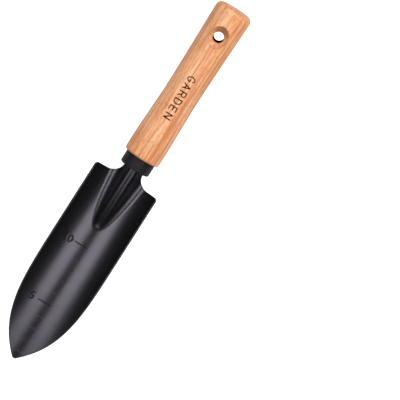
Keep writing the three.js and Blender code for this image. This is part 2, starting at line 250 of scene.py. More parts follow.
butt = next(m for m in frame["record"]["mounts"] if m["name"] == "butt_end")
butt_axis = np.array(butt["axis"])
handle_lean = math.atan2(butt_axis[2], -butt_axis[0])
ferrule_front = np.array(butt["pos_m"]) - butt_axis * (HANDLE_LENGTH + FERRULE_LENGTH)
handle_place = (turned(handle_lean), ferrule_front)

SLOPE_STEP = 0.1 * MM
crest_here = crest_height(np.array(-NECK_LENGTH))
crest_slope = (crest_height(np.array(-NECK_LENGTH - SLOPE_STEP)) - crest_here) / SLOPE_STEP
handle_rise = math.atan(crest_slope)
crest_at_tang_end = crest_height(np.array(TANG_UNDER_NECK - NECK_LENGTH))
crest_sag = crest_here - crest_slope * TANG_UNDER_NECK - crest_at_tang_end
axis_drop = SHEET + TANG_TO_NECK + crest_sag + TANG_RADIUS
ferrule_in_blade = np.array([-NECK_LENGTH, 0, crest_here - axis_drop / math.cos(handle_rise)])
blade_turn = turned(handle_lean - handle_rise)
blade_place = (blade_turn, ferrule_front - blade_turn @ ferrule_in_blade)
print("handle leans", math.degrees(handle_lean),
      "and the blade", math.degrees(handle_lean - handle_rise))

# %% [markdown]
# ## The depth scale
#
# The scale is pressed into the face with a punch: a short line every centimetre from the tip, and a
# longer one with a number at 5 and 10. Each stroke is a groove. Its depth at any point depends on
# how far the point is from the middle of the stroke, so it needs only distances to lines and arcs.

# %% Grooves of the scale
MARK_DEPTH = 0.28 * MM
MARK_HALF_WIDTH = 0.42 * MM
MARK_WALL = 0.6 * MARK_HALF_WIDTH  # how much of that is sloping wall
MARK_PITCH = 10 * MM
MARK_COUNT = 10
FIRST_MARK_FROM_TIP = 6.4 * MM
SHORT_MARK = (-2.6 * MM, 2.6 * MM)
SHORT_MARK_SHARE = 0.5  # the short marks are struck less deep
LONG_MARK = (-7.7 * MM, 2.6 * MM)
NUMBER_CENTRE = -13 * MM
DIGIT_HEIGHT = 5.9 * MM
DIGIT_WIDTH = 3.4 * MM
ONE_ACROSS = -0.68 * DIGIT_WIDTH  # the 1 and the 0 of the 10, from the number's middle
NOUGHT_ACROSS = 0.42 * DIGIT_WIDTH
FAR_AWAY = 1.0  # metres, farther than any stroke

mark_number = np.arange(1, MARK_COUNT + 1)
mark_x = BLADE_LENGTH - FIRST_MARK_FROM_TIP - MARK_PITCH * (mark_number - 1)


def to_line(x, y, ax, ay, bx, by):
    """Distance to a straight stroke from a to b."""
    along = ((x - ax) * (bx - ax) + (y - ay) * (by - ay)) / ((bx - ax) ** 2 + (by - ay) ** 2)
    t = np.clip(along, 0, 1)
    return np.hypot(x - ax - t * (bx - ax), y - ay - t * (by - ay))


def to_arc(x, y, cx, cy, radius_x, radius_y, middle, reach):
    """Distance to a stretch of an ellipse, within an angle either side of its middle."""
    angle = np.arctan2((y - cy) / radius_y, (x - cx) / radius_x) - middle
    angle = (angle + np.pi) % (2 * np.pi) - np.pi
    nearest = middle + np.clip(angle, -reach, reach)
    return np.hypot(x - cx - radius_x * np.cos(nearest), y - cy - radius_y * np.sin(nearest))


def to_digit(x, y, digit, cx, cy):
    """Distance to a digit's middle line. Its head is towards -x and it reads towards +y.

    Its corners are given as shares of h and w, half its height and half its width."""
    h, w = DIGIT_HEIGHT / 2 - MARK_HALF_WIDTH, DIGIT_WIDTH / 2 - MARK_HALF_WIDTH
    if digit == 0:
        return to_arc(x, y, cx, cy, h, w, 0, np.pi)
    if digit == 1:
        stem = to_line(x, y, cx - h, cy, cx + h, cy)
        flag = to_line(x, y, cx - h, cy, cx - 0.62 * h, cy - 0.6 * w)
        foot = to_line(x, y, cx + h, cy - 0.6 * w, cx + h, cy + 0.6 * w)
        return np.minimum(np.minimum(stem, flag), foot)
    bowl_radius = 0.6 * h
    bowl = to_arc(x, y, cx + h - bowl_radius, cy - 0.1 * w, bowl_radius, w,
                  math.radians(72), math.radians(105))
    head = to_line(x, y, cx - h, cy - 0.7 * w, cx - h, cy + 0.85 * w)
    back = to_line(x, y, cx - h, cy - 0.7 * w, cx - 0.12 * h, cy - 0.85 * w)
    return np.minimum(np.minimum(head, back), bowl)


def groove_depth(x, y):
    """Share of the groove's depth at each point: full in its middle, with soft sloping walls."""
    to_short = np.full_like(x, FAR_AWAY)
    to_strong = np.full_like(x, FAR_AWAY)
    for number, at in zip(mark_number, mark_x):
        if number % 5:
            to_short = np.minimum(to_short, to_line(x, y, at, SHORT_MARK[0], at, SHORT_MARK[1]))
        else:
            to_strong = np.minimum(to_strong, to_line(x, y, at, LONG_MARK[0], at, LONG_MARK[1]))
    five, ten = mark_x[4], mark_x[9]
    to_strong = np.minimum(to_strong, to_digit(x, y, 5, five, NUMBER_CENTRE))
    to_strong = np.minimum(to_strong, to_digit(x, y, 1, ten, NUMBER_CENTRE + ONE_ACROSS))
    to_strong = np.minimum(to_strong, to_digit(x, y, 0, ten, NUMBER_CENTRE + NOUGHT_ACROSS))
    short = SHORT_MARK_SHARE * smoothstep((MARK_HALF_WIDTH - to_short) / MARK_WALL)
    return np.maximum(short, smoothstep((MARK_HALF_WIDTH - to_strong) / MARK_WALL))


# %% [markdown]
# ## The outline of the blade
#
# The sheet is blanked before it is pressed. Its outline is a neck with a hollow fillet on each side,
# square shoulders with a small corner radius, and sides that close on the tip as a high power of the
# distance. The grid lies a little inside that outline, and the rounded edge brings it back out.

# %% Rows and columns of the blade
BODY_SPACING = 1.25 * MM  # between rows where the face is plain
COLUMN_SPACING = 0.8 * MM
DIGIT_SPACING = 0.21 * MM  # between rows and columns where a number is struck
MARK_SPACING = 0.3 * MM  # between columns where the marks are
MARK_COLUMNS = (-8.6 * MM, 3.4 * MM)
NUMBER_REACH = 3.3 * MM  # from the middle of a number to the last of its columns

fillet_radius = NECK_FILLET_RADIUS + EDGE_ROUNDING
fillet_y = NECK_HALF_WIDTH + NECK_FILLET_RADIUS
corner_radius = HEEL_CORNER_RADIUS - EDGE_ROUNDING


def side_half_width(x):
    """Half the width between the blade's sides, set in from the true outline along its slope."""
    into_point = np.clip((x - (BLADE_LENGTH - POINT_LENGTH)) / POINT_LENGTH, 0, 1)
    body = BLADE_HALF_WIDTH - TIP_HALF_WIDTH
    slope = body * POINT_POWER * into_point ** (POINT_POWER - 1) / POINT_LENGTH
    full = TIP_HALF_WIDTH + body * (1 - into_point**POINT_POWER)
    return full - SIDE_INSET * np.sqrt(1 + slope**2)


def evenly(start, end, spacing):
    """Values from start to end, about a spacing apart."""
    return np.linspace(start, end, max(2, int(round(abs(end - start) / spacing)) + 1))


def thinned(values, least):
    """Sorted values with those closer than a least distance to the one before left out."""
    values = np.sort(values)
    cell = np.floor((values - values[0]) / least)
    keep = np.concatenate([[True], np.diff(cell) > 0])
    keep[-1] = True
    return values[keep]


corner_turn = np.linspace(0, math.pi / 2, 9)
corner_rows = EDGE_ROUNDING + corner_radius * (1 - np.cos(corner_turn))
corner_width = BLADE_HALF_WIDTH - SIDE_INSET - corner_radius * (1 - np.sin(corner_turn))
# Rows across a mark, in half widths of it: close together inside it, and wider apart beside it.
across_mark = np.array([-2.2, -1.6, -1.25, -1.0, -0.8, -0.6, -0.42, -0.25, -0.1,
                        0.1, 0.25, 0.42, 0.6, 0.8, 1.0, 1.25, 1.6, 2.2]) * MARK_HALF_WIDTH
digit_rows = evenly(-DIGIT_HEIGHT / 2 - 0.3 * MM, DIGIT_HEIGHT / 2 + 0.3 * MM, DIGIT_SPACING)
free_rows = evenly(corner_rows[-1] + 0.6 * MM, BLADE_LENGTH - EDGE_ROUNDING, BODY_SPACING)
body_rows = thinned(np.concatenate([
    free_rows,
    (mark_x[:, None] + across_mark).ravel(),
    mark_x[4] + digit_rows,
    mark_x[9] + digit_rows,
]), 0.1 * MM)
body_rows = body_rows[body_rows <= BLADE_LENGTH - EDGE_ROUNDING]
body_x = np.concatenate([corner_rows, body_rows])
body_width = np.concatenate([corner_width, side_half_width(body_rows)])

seam_y = fillet_y  # the neck's grid joins the body's between these distances from the middle
inner_columns = thinned(np.concatenate([
    evenly(-seam_y, seam_y, COLUMN_SPACING),
    evenly(NUMBER_CENTRE - NUMBER_REACH, NUMBER_CENTRE + NUMBER_REACH, DIGIT_SPACING),
    evenly(*MARK_COLUMNS, MARK_SPACING),
]), 0.15 * MM)
inner_columns[[0, -1]] = -seam_y, seam_y
shoulder = evenly(seam_y, corner_width[0], COLUMN_SPACING)[1:]
columns = np.concatenate([-shoulder[::-1], inner_columns, shoulder])
column_share = columns / columns[-1]
first_inner = len(shoulder)
last_inner = first_inner + len(inner_columns) - 1
print("body grid:", len(body_x), "rows by", len(columns), "columns")

# %% [markdown]
# ## The blade
#
# Front and back are the same grid, a sheet's thickness apart along the normal, so the sheet is as
# thick on the rib's flanks as on the floor. The edge is a half round that follows the whole outline.
# A Solidify modifier could thicken the face too, but it would thicken the grooves with it.

# %% Points of the sheet
ROUND_STEPS = 8  # faces across the rounded edge
SQUARENESS = 0.7  # power that makes the half round fuller than a circle


def sheet_grid(x_rows, widths, shares, slanted):
    """x and y over a grid: each row spans its own width, drawn in where the dish's back leans out."""
    x = x_rows[:, None] + 0 * shares[None, :]
    face_width = widths + SHEET * np.minimum(face_normal(x_rows, widths)[:, 1], 0)
    y = face_width[:, None] * shares[None, :]
    if slanted:
        fade = np.clip(1 - x / SLANT_FADE, 0, 1) ** 2
        x = x + HEEL_SLANT * np.maximum(np.abs(y) - seam_y, 0) * fade
    return x, y


body_xy = sheet_grid(body_x, body_width, column_share, True)

neck_start = EDGE_ROUNDING - NECK_LENGTH - NECK_IN_FERRULE
fillet_turn = np.linspace(0, math.pi / 2, 15)[:-1]
neck_x = np.concatenate([
    evenly(neck_start, -fillet_radius + EDGE_ROUNDING, 1.0 * MM)[:-1],
    EDGE_ROUNDING - fillet_radius + fillet_radius * np.sin(fillet_turn),
])
fillet_share = np.clip((neck_x - EDGE_ROUNDING + fillet_radius) / fillet_radius, 0, 1)
neck_width = fillet_y - fillet_radius * np.sqrt(1 - fillet_share**2)
neck_xy = sheet_grid(neck_x, neck_width, inner_columns / seam_y, False)
seam = slice(first_inner, last_inner + 1)
neck_xy = tuple(np.vstack([grid, body[:1, seam]]) for grid, body in zip(neck_xy, body_xy))


def sheet_points(x, y, groove):
    """Front and back of the sheet at x and y, the front lowered by its grooves."""
    normal = face_normal(x, y)
    front = np.stack([x, y, face_height(x, y)], axis=-1)
    return front - normal * groove[..., None] * MARK_DEPTH, front - normal * SHEET, normal


def outline_of(body, neck):
    """The closed edge of the sheet: up one side of the neck, round the blade and back."""
    return np.concatenate([
        neck[:, 0],
        body[0, first_inner - 1::-1],
        body[1:, 0],
        body[-1, 1:],
        body[-2::-1, -1],
        body[0, -2:last_inner:-1],
        neck[::-1, -1],
        neck[0, -2:0:-1],
    ])


grids = []
grooves = []
edges = []
for part in (body_xy, neck_xy):
    groove = groove_depth(*part)
    front, back, normal = sheet_points(*part, groove)
    faces = grid_faces(*part[0].shape)
    grids += [(front, faces), (back, faces[:, ::-1])]
    grooves += [groove.ravel(), np.zeros(groove.size)]
    edges.append((front, back, normal))
front_edge, back_edge, edge_normal = (outline_of(b, n) for b, n in zip(*edges))

tangent = np.roll(front_edge, -1, axis=0) - np.roll(front_edge, 1, axis=0)
outward = np.cross(tangent, edge_normal)
outward /= np.linalg.norm(outward, axis=1, keepdims=True)
turn = np.linspace(0, math.pi, ROUND_STEPS + 1)[:, None, None]
bulge = EDGE_ROUNDING * np.sin(turn) ** SQUARENESS
level = np.sign(np.cos(turn)) * np.abs(np.cos(turn)) ** SQUARENESS
rim = (front_edge + back_edge) / 2 + level * (front_edge - back_edge) / 2 + bulge * outward
grids.append((rim, grid_faces(*rim.shape[:2], close_columns=True)))
grooves.append(np.zeros(rim[..., 0].size))

blade = make_piece("pressed_blade", grids, blade_place, "blade",
                   {"groove": np.concatenate(grooves)})

# %% [markdown]
# ## Turned pieces
#
# The handle is turned on a lathe, and the tang is a round bar. Both are a profile of distances along
# the axis and radii, carried round it. The handle's grip is a smooth curve through a few points.

# %% Profiles and lathes


def smooth_through(points, steps):
    """A Catmull-Rom curve: each stretch is a cubic set by the points around it."""
    p = np.array(points)
    p = np.vstack([2 * p[0] - p[1], p, 2 * p[-1] - p[-2]])
    at = np.linspace(0, len(points) - 1, steps)
    i = np.minimum(at.astype(int), len(points) - 2)
    t = (at - i)[:, None]
    a, b, c, d = p[i], p[i + 1], p[i + 2], p[i + 3]
    bend, twist = 2 * a - 5 * b + 4 * c - d, 3 * b - a - 3 * c + d
    return 0.5 * (2 * b + (c - a) * t + bend * t**2 + twist * t**3)


def arc(centre, radius, start, end, steps):
    """A stretch of a circle, between two angles in degrees."""
    angle = np.radians(np.linspace(start, end, steps))
    return np.array(centre) + radius * np.stack([np.cos(angle), np.sin(angle)], axis=-1)


def lathe(profile, around):
    """A profile of (x, radius) carried round the x axis."""
    angle = np.arange(around) * 2 * math.pi / around
    x = profile[:, :1] + 0 * angle
    return np.stack([x, profile[:, 1:] * np.sin(angle), profile[:, 1:] * np.cos(angle)], axis=-1)


# %% [markdown]
# ## The handle
#
# Beech is turned to a grip with a slight waist, a tenon for the ferrule and a blind bore for the
# tang. The hanging hole is drilled across and countersunk from both sides. A Boolean modifier would
# leave long thin faces there, so a patch of the turned grid is left out instead. A second grid fills
# it: rings that start as the patch's edge, close in to the countersink, and go down into the bore.

# %% The turned grip
wood_start = -FERRULE_LENGTH
butt_x = wood_start - HANDLE_LENGTH
front_centre = (wood_start - HANDLE_FRONT_EDGE, HANDLE_FRONT_RADIUS - HANDLE_FRONT_EDGE)
butt_centre = (butt_x + HANDLE_BUTT_EDGE, HANDLE_BUTT_RADIUS - HANDLE_BUTT_EDGE)
tenon_radius = FERRULE_RADIUS - FERRULE_WALL - GAP
tenon_face = -FERRULE_FRONT - GAP


def along_handle(share):
    """A place on the handle, as a share of its length from the ferrule."""
    return wood_start - share * HANDLE_LENGTH


front_round = arc(front_centre, HANDLE_FRONT_EDGE, 0, 90, 9)
butt_round = arc(butt_centre, HANDLE_BUTT_EDGE, 90, 180, 13)
grip = smooth_through([
    front_round[-1],
    (along_handle(0.11), HANDLE_FRONT_RADIUS + 0.05 * MM),
    (along_handle(0.27), (HANDLE_FRONT_RADIUS + HANDLE_WAIST_RADIUS) / 2),
    (along_handle(0.43), HANDLE_WAIST_RADIUS),
    (along_handle(0.685), 0.6 * HANDLE_WAIST_RADIUS + 0.4 * HANDLE_BUTT_RADIUS),
    (along_handle(0.94), HANDLE_BUTT_RADIUS),
    butt_round[0],
], steps=400)
bore_and_tenon = np.array([
    (BORE_END, 0), (BORE_END, BORE_RADIUS), (tenon_face, BORE_RADIUS), (tenon_face, tenon_radius),
    (wood_start, tenon_radius), (wood_start, tenon_radius + 1.5 * MM)])
butt_face = np.stack([np.full(6, butt_x), np.linspace(butt_centre[1], 0, 7)[1:]], axis=-1)
grip_curve = np.vstack([grip, butt_round[1:-1]])[::-1]


def grip_radius(x):
    """The grip's radius at a distance along the axis."""
    return np.interp(x, grip_curve[:, 0], grip_curve[:, 1])


# %% [markdown]
# ## The word burnt into the grip
#
# A laser burns the word into the finished handle. Each letter is a few strokes, written like the
# numbers of the scale as lines and arcs. The burn is 0.1 mm deep, which is too fine for the turned
# grid, so the grid gets more rows and columns there.

# %% Strokes of the letters
LETTER_HEIGHT = 5.6 * MM
LETTER_WIDTH = 3.7 * MM
LETTER_PITCH = 6.3 * MM
BURN_HALF_WIDTH = 0.52 * MM
BURN_WALL = 0.35 * BURN_HALF_WIDTH  # how much of that fades out
BURN_DEPTH = 0.1 * MM
WORD = "GARDEN"
word_start = along_handle(0.552)

# Every letter is drawn in a box of width 1 and height 1. A line is x, y of both ends. An arc is its
# centre, its two radii, and the middle and the half of the angle that it covers, in degrees.
LINES = {
    "A": [(0, 0, 0.5, 1), (0.5, 1, 1, 0), (0.2, 0.36, 0.8, 0.36)],
    "D": [(0, 0, 0, 1), (0, 1, 0.4, 1), (0, 0, 0.4, 0)],
    "E": [(0, 0, 0, 1), (0, 1, 0.9, 1), (0, 0.52, 0.75, 0.52), (0, 0, 0.9, 0)],
    "G": [(0.58, 0.45, 1, 0.45), (1, 0.45, 1, 0.25)],
    "N": [(0, 0, 0, 1), (0, 1, 1, 0), (1, 0, 1, 1)],
    "R": [(0, 0, 0, 1), (0, 1, 0.55, 1), (0, 0.5, 0.55, 0.5), (0.45, 0.5, 1, 0)],
}
ARCS = {
    "D": [(0.4, 0.5, 0.6, 0.5, 0, 90)],
    "G": [(0.5, 0.5, 0.5, 0.5, 190, 145)],
    "R": [(0.55, 0.75, 0.4, 0.25, 0, 90)],
}


def burn_depth(x, across):
    """Share of the burn's depth at a place along the handle and across its top."""
    nearest = np.full_like(x, FAR_AWAY)
    for place, letter in enumerate(WORD):
        left = word_start + place * LETTER_PITCH
        foot = -LETTER_HEIGHT / 2
        size = np.array([LETTER_WIDTH, LETTER_HEIGHT])
        for line in LINES[letter]:
            ends = np.array(line).reshape(2, 2) * size + (left, foot)
            nearest = np.minimum(nearest, to_line(x, across, *ends.ravel()))
        for cx, cy, rx, ry, middle, half in ARCS.get(letter, []):
            centre, radii = np.array([cx, cy]) * size + (left, foot), np.array([rx, ry]) * size
            angles = math.radians(middle), math.radians(half)
            nearest = np.minimum(nearest, to_arc(x, across, *centre, *radii, *angles))
    return smoothstep((BURN_HALF_WIDTH - nearest) / BURN_WALL)


# %% Rows and columns of the turned grid
FINE = 0.25 * MM  # between rows under the word
PLAIN = 1.3 * MM  # and between the others
word_end = word_start + len(WORD) * LETTER_PITCH
grip_x = np.concatenate([
    evenly(grip[0, 0], word_end + 1 * MM, PLAIN),
    evenly(word_end + 1 * MM, word_start - 2 * MM, FINE)[1:],
    evenly(word_start - 2 * MM, butt_round[0, 0], PLAIN)[1:],
])
grip_rows = np.stack([grip_x, grip_radius(grip_x)], axis=-1)
handle_profile = np.vstack([bore_and_tenon, front_round, grip_rows[1:-1], butt_round, butt_face])
row_x = handle_profile[:, 0]

COARSE_STEP = math.radians(3)
# A full turn: one-degree steps near the top and the bottom, and coarse ones at the sides.
fine_turn = np.arange(-18, 18) * COARSE_STEP / 3
coarse_turn = np.arange(6, 54) * COARSE_STEP
turns = np.concatenate([fine_turn, coarse_turn, fine_turn + math.pi, coarse_turn + math.pi])
turned_grid = np.stack([
    handle_profile[:, :1] + 0 * turns,
    handle_profile[:, 1:] * np.sin(turns),
    handle_profile[:, 1:] * np.cos(turns)], axis=-1)

on_grip_rows = (np.arange(len(row_x)) >= len(bore_and_tenon))[:, None]
upright = np.cos(turns) > 0
burn_and_painted_shade = on_grip_rows * upright * burn_depth(turned_grid[..., 0], handle_profile[:, 1:] * np.sin(turns))
sunk = 1 - burn_and_painted_shade * BURN_DEPTH / np.maximum(handle_profile[:, 1:], 1 * MM)
turned_grid[..., 1:] *= sunk[..., None]

# %% [markdown]
# ## The hanging hole
#
# Its countersink is a cone, and the grip is a surface of revolution, so their meeting line is found
# by halving an interval on each bearing. All the rings together make one sleeve through the handle.
# The wall of the bore is darkened in colour, and the countersink's rim slightly so: this is painted
# shade, where little light gets into the hole.

# %% The hanging hole
HOLE_EDGE = 0.4 * MM  # how far the sanded edge of the countersink is rounded over
BORE_SHADE = 1.0  # share of the full dark colour, painted as shade, on the wall of the bore
BORE_SHADE_FADE = 0.2 * MM
RIM_SHADE = 0.35  # and on the countersink's rim
RIM_BAND = 0.7 * MM  # how far either side of the rim
RIM_FADE = 0.6 * MM
PATCH_REACH = 12.5 * MM  # half the length of the patch
PATCH_TURN = 20 * COARSE_STEP  # and half its turn

hole_x = butt_x + HOLE_FROM_BUTT
patch_rows = np.flatnonzero(on_grip_rows[:, 0] & (np.abs(row_x - hole_x) < PATCH_REACH)
                            & (handle_profile[:, 1] > 0.9 * HANDLE_WAIST_RADIUS))
top_row, end_row = patch_rows[0], patch_rows[-1]
signed_turn = (turns + math.pi) % (2 * math.pi) - math.pi
by_turn = np.argsort(signed_turn, kind="stable")
patch_columns = by_turn[np.abs(signed_turn[by_turn]) < PATCH_TURN + 0.001]
block = turned_grid[top_row:end_row + 1][:, patch_columns]
patch_edge = np.concatenate([block[0, :-1], block[:-1, -1], block[-1, :0:-1], block[:0:-1, 0]])
bearing = np.arctan2(patch_edge[:, 1], patch_edge[:, 0] - hole_x)

cone_slope = 1 / math.tan(COUNTERSINK_HALF_ANGLE)
cone_tip = HANDLE_BUTT_RADIUS - COUNTERSINK_RADIUS * cone_slope


def on_grip(reach):
    """Points of the grip's upper surface at a distance from the hole's axis, on every bearing."""
    x = hole_x + reach * np.cos(bearing)
    y = reach * np.sin(bearing)
    return np.stack([x, y, np.sqrt(grip_radius(x) ** 2 - y**2)], axis=-1)


def on_cone(reach):
    """Points of the countersink at a distance from the hole's axis, on every bearing."""
    x = hole_x + reach * np.cos(bearing)
    return np.stack([x, reach * np.sin(bearing), cone_tip + reach * cone_slope + 0 * x], axis=-1)


def rounded(start, corner, end, shares):
    """Rings on the curve from start to end that is pulled towards the corner."""
    return [(1 - t) ** 2 * start + 2 * t * (1 - t) * corner + t * t * end for t in shares]


near, far = np.full(bearing.shape, HOLE_RADIUS), np.full(bearing.shape, 0.9 * HANDLE_WAIST_RADIUS)
for _ in range(40):  # halve the interval in which cone and grip cross
    middle = (near + far) / 2
    above = on_cone(middle)[:, 2] > on_grip(middle)[:, 2]
    near, far = np.where(above, near, middle), np.where(above, middle, far)
rim_reach = (near + far) / 2

edge_reach = np.hypot(patch_edge[:, 0] - hole_x, patch_edge[:, 1])
to_rim = rim_reach + HOLE_EDGE - edge_reach
closing_in = np.linspace(0, 1, 13)[1:] ** 1.2
outer_rings = [patch_edge] + [on_grip(edge_reach + s * to_rim) for s in closing_in]
cone_start = rim_reach - HOLE_EDGE
edge_rings = rounded(outer_rings[-1], on_cone(rim_reach), on_cone(cone_start), (0.25, 0.5, 0.75, 1))
cone_end = HOLE_RADIUS + 0.3 * MM
cone_rings = [on_cone(cone_start + s * (cone_end - cone_start)) for s in (0.25, 0.5, 0.75, 1)]
lip = on_cone(HOLE_RADIUS)
lip_end = lip - [0, 0, HOLE_EDGE]
lip_rings = rounded(cone_rings[-1], lip, lip_end, (0.33, 0.67, 1))
bore_rings = [lip_end * [1, 1, 1 - s] for s in np.linspace(0, 1, 8)[1:]]
upper_half = np.array(outer_rings + edge_rings + cone_rings + lip_rings + bore_rings)
hole_grid = np.concatenate([upper_half, upper_half[-2::-1] * [1, 1, -1]])
from_hole = np.hypot(hole_grid[..., 0] - hole_x, hole_grid[..., 1])
from_rim = np.abs(from_hole - rim_reach)
# Painted shade: the wall of the bore is darkened in colour, and the countersink's rim a little.
painted_bore_shade = BORE_SHADE * smoothstep((HOLE_RADIUS + BORE_SHADE_FADE - from_hole) / BORE_SHADE_FADE)
painted_rim_shade = RIM_SHADE * smoothstep((RIM_BAND - from_rim) / RIM_FADE)
painted_hole_shade = np.maximum(painted_bore_shade, painted_rim_shade)

# %% Leave the two patches out of the turned grid
lathe_faces = grid_faces(*turned_grid.shape[:2], close_columns=True)
face_turn = turns + (np.roll(turns, -1) - turns + 2 * math.pi) % (2 * math.pi) / 2
from_top = np.abs((face_turn + math.pi) % (2 * math.pi) - math.pi)
in_columns = np.minimum(from_top, math.pi - from_top) < PATCH_TURN
face_row = np.arange(len(row_x) - 1)
in_patch = ((face_row >= top_row) & (face_row < end_row))[:, None] & in_columns
# The attribute holds the burnt word and the painted shade on the bore's wall and the countersink's rim.
handle = make_piece(
    "turned_handle",
    [(turned_grid, lathe_faces[~in_patch.ravel()]),
     (hole_grid, grid_faces(*hole_grid.shape[:2], close_columns=True))],
    handle_place, "handle",
    {"burn_and_painted_shade": np.concatenate([burn_and_painted_shade.ravel(), painted_hole_shade.ravel()])})

# %% [markdown]
# ## The ferrule
#
# The ferrule is moulded. It is a turned cup, apart from the window in its front, which follows the
# arch of the neck. So its profile is carried round the axis as on a lathe, and only the reach of the
# window changes with the angle. The profile closes on itself, and the grid closes both ways.

# %% The cup and its window
FERRULE_AROUND = 180
LIP = 0.35 * MM
angle = np.arange(FERRULE_AROUND) * 2 * math.pi / FERRULE_AROUND
window_half_width = NECK_HALF_WIDTH + WINDOW_CLEARANCE
window_crest = axis_drop + 2 * WINDOW_CLEARANCE
window_foot = -TANG_RADIUS - WINDOW_CLEARANCE


def window_reach():
    """How far the window reaches at each angle: found by halving, inside or outside its shape."""
    near, far = np.zeros_like(angle), np.full_like(angle, FERRULE_RADIUS)
    for _ in range(30):
        middle = (near + far) / 2
        y, z = middle * np.sin(angle), middle * np.cos(angle)
        under_arch = z < window_crest - rib_fall(y)
        inside = (np.abs(y) < window_half_width) & (z > window_foot) & under_arch
        near, far = np.where(inside, middle, near), np.where(inside, far, middle)
    return near


reach = window_reach()
inner_radius = FERRULE_RADIUS - FERRULE_WALL
front_reach = np.minimum(reach + LIP, inner_radius)


def ferrule_ring(x, radius):
    """One ring of the ferrule, at x, with the same or its own radius at each angle."""
    radius = radius + 0 * angle
    return np.stack([x + 0 * angle, radius * np.sin(angle), radius * np.cos(angle)], axis=-1)


rear = wood_start + GAP
front_start = FERRULE_RADIUS - FERRULE_EDGE_RADIUS
rounding = arc((-FERRULE_EDGE_RADIUS, front_start), FERRULE_EDGE_RADIUS, 90, 0, 9)
rear_edge = arc((rear + LIP, FERRULE_RADIUS - LIP), LIP, 180, 90, 5)
rings = [ferrule_ring(rear, r) for r in (inner_radius, inner_radius + 0.5 * MM)]
rings += [ferrule_ring(x, r) for x, r in rear_edge]
rings += [ferrule_ring(x, r) for x, r in rounding]
inwards = np.minimum(front_reach, front_start) - front_start
rings += [ferrule_ring(0, front_start + share * inwards) for share in (0.33, 0.67, 1)]
rings += [ferrule_ring(-0.3 * LIP, reach + 0.3 * LIP), ferrule_ring(-LIP, reach)]
rings += [ferrule_ring(-FERRULE_FRONT, reach), ferrule_ring(-FERRULE_FRONT, inner_radius)]
ferrule_grid = np.array(rings)
ferrule = make_piece(
    "moulded_ferrule",
    [(ferrule_grid, grid_faces(*ferrule_grid.shape[:2], close_rows=True, close_columns=True))],
    handle_place, "ferrule")

# %% [markdown]
# ## The tang and its welds
#
# The tang is a round bar under the neck, hidden when the tool lies on its back. It has turned grooves
# near its pointed end, which grip the adhesive. The weld beads beside it have the ripples that a
# welder's hand leaves: each is a round bead whose radius swings along its length.

# %% Tang
TANG_IN_HANDLE = 61 * MM
TANG_POINT = 7 * MM
TANG_BEVEL = 1 * MM  # round the end under the neck
KEY_GROOVES = 4
KEY_PITCH = 9 * MM
KEY_DEPTH = 0.6 * MM
tang_end = wood_start - TANG_IN_HANDLE
key_at = tang_end + TANG_POINT + 4 * MM + KEY_PITCH * np.arange(KEY_GROOVES)
key_shape = np.array([(0, 0), (0.8 * MM, -KEY_DEPTH), (2.2 * MM, -KEY_DEPTH), (3 * MM, 0)])
key_start = np.stack([key_at, np.full(KEY_GROOVES, TANG_RADIUS)], axis=-1)
key_profile = (key_start[:, None] + key_shape).reshape(-1, 2)
under_neck = np.linspace(wood_start, TANG_UNDER_NECK - 2 * MM, 12)
tang_nose = arc((TANG_UNDER_NECK - TANG_BEVEL, TANG_RADIUS - TANG_BEVEL), TANG_BEVEL, 90, 0, 7)
tang_profile = np.vstack([
    [(tang_end, 0), (tang_end, 0.8 * MM), (tang_end + TANG_POINT, TANG_RADIUS)],
    key_profile,
    np.stack([under_neck, np.full(12, TANG_RADIUS)], axis=-1),
    tang_nose,
    [(TANG_UNDER_NECK, 0)]])
tang_grid = lathe(tang_profile, 48)
tang = make_piece("tang_bar", [(tang_grid, grid_faces(*tang_grid.shape[:2], close_columns=True))],
                  handle_place, "tang")

# %% Weld beads
WELD_RADIUS = 0.95 * MM
WELD_START = 2 * MM
WELD_LENGTH = 14 * MM
WELD_RIPPLE = 1.1 * MM  # distance from one ripple to the next
RIPPLE_HEIGHT = 0.12  # as a share of the bead's radius
RIPPLE_BOW = 0.25 * MM  # how far a ripple's middle runs ahead of its ends


def weld_points(side):
    """A round bead: its radius swings with each ripple and closes to nothing at both ends."""
    share = np.linspace(0, 1, 141)[:, None]
    around = np.arange(24)[None, :] * 2 * math.pi / 24
    x = WELD_START + share * WELD_LENGTH
    crescent = x + RIPPLE_BOW * np.cos(around)
    ripple = 1 - RIPPLE_HEIGHT * np.abs(np.sin(math.pi * crescent / WELD_RIPPLE))
    closing = np.sqrt(np.clip(1 - (2 * share - 1) ** 10, 0, 1))
    radius = WELD_RADIUS * ripple * closing
    out = TANG_RADIUS + GAP + WELD_RADIUS
    y = side * out * math.cos(WELD_TURN) + radius * np.cos(around)
    z = radius * np.sin(around) - out * math.sin(WELD_TURN)
    return np.stack([x + 0 * around, y, z], axis=-1)


welds = []
for name, side in (("left", -1), ("right", 1)):
    points = weld_points(side)
    bead = [(points, grid_faces(*points.shape[:2], close_columns=True))]
    welds.append(make_piece("weld_bead_" + name, bead, handle_place, "weld_" + name))

# %% [markdown]
# ## Tools for materials
#
# Colours are written as hex values, as on a paint card. Blender mixes light in linear values, so one
# function converts them. One more adds a node with its settings and links.

# %% Colours and nodes


def linear(hex_colour):
    """An sRGB hex colour as linear red, green, blue and full alpha."""
    parts = np.array([int(hex_colour[i:i + 2], 16) for i in (1, 3, 5)]) / 255
    values = np.where(parts <= 0.04045, parts / 12.92, ((parts + 0.055) / 1.055) ** 2.4)
    return (*values, 1.0)


def add(tree, kind, settings=None, **inputs):
    """Adds a node. An input is given a value, or is linked when it is given a socket.

    Inputs go by name, or as i0, i1 and so on where several share a name."""
    node = tree.nodes.new(kind)
    for key, value in (settings or {}).items():
        setattr(node, key, value)
    for key, value in inputs.items():
        numbered = key[0] == "i" and key[1:].isdigit()
        socket = node.inputs[int(key[1:]) if numbered else key.replace("_", " ")]
        if isinstance(value, bpy.types.NodeSocket):
            tree.links.new(value, socket)
        else:
            socket.default_value = value
    return node


